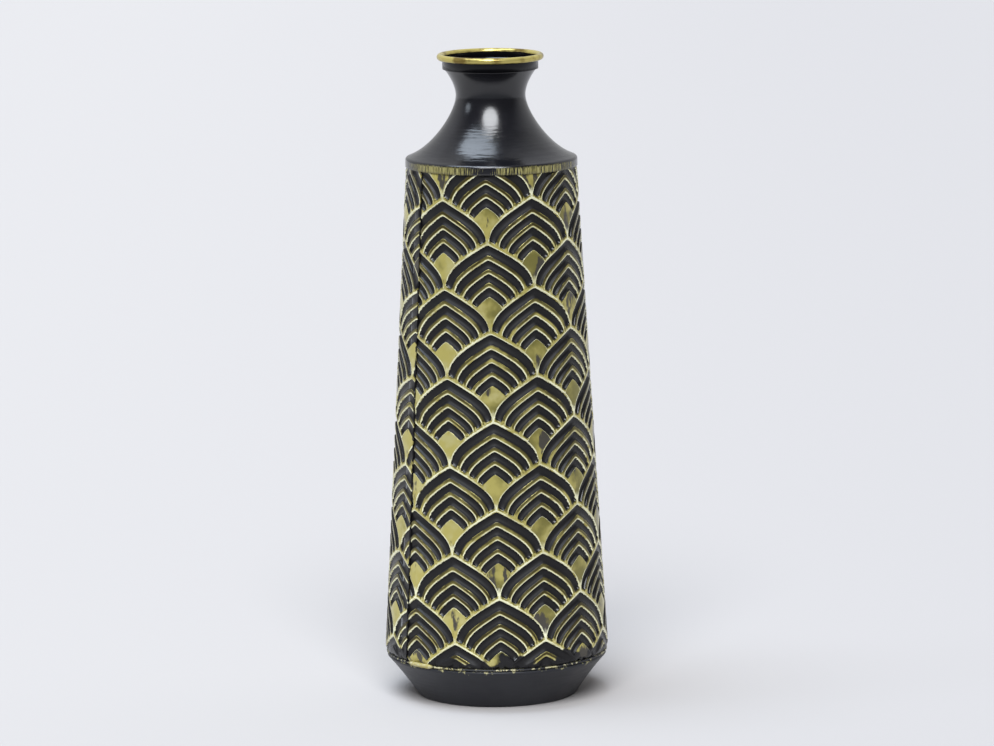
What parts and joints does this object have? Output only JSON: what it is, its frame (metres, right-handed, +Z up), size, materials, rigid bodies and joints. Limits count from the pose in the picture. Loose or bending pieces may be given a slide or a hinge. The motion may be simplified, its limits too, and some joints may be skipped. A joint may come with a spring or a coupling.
{
  "type": "embossed sheet metal vase",
  "caption": "Tall conical floor or table vase of embossed sheet metal, with a flared foot, a scallop patterned body, a spun bottle neck and a wired gold rim.",
  "frame": {"origin": "centre of the flat ring that the foot stands on", "axes": "+Z up along the vase's axis, -Y towards the pictured front"},
  "size_m": [0.111, 0.111, 0.32],
  "materials": {
    "rim_gold": "bright antique gold over black, worn",
    "bare_steel": "drawn wire",
    "black_lacquer": "satin black lacquer with faint spin marks",
    "embossed_gold": "black lacquer, dry brushed with antique gold on the raised pattern",
    "joint_filler": "rough filler, black with flecks of gold",
    "solder": "dull solder"
  },
  "bodies": {
    "root": {"mouth_ring": "rim_gold", "rim_wire": "bare_steel", "neck_shoulder": "black_lacquer", "body_front_sheet": "embossed_gold", "body_back_sheet": "embossed_gold", "foot_pan": "black_lacquer", "foot_joint_bead": "joint_filler", "shoulder_joint_bead": "solder", "side_seam_bead_left": "solder", "side_seam_bead_right": "solder"}
  },
  "joints": []
}
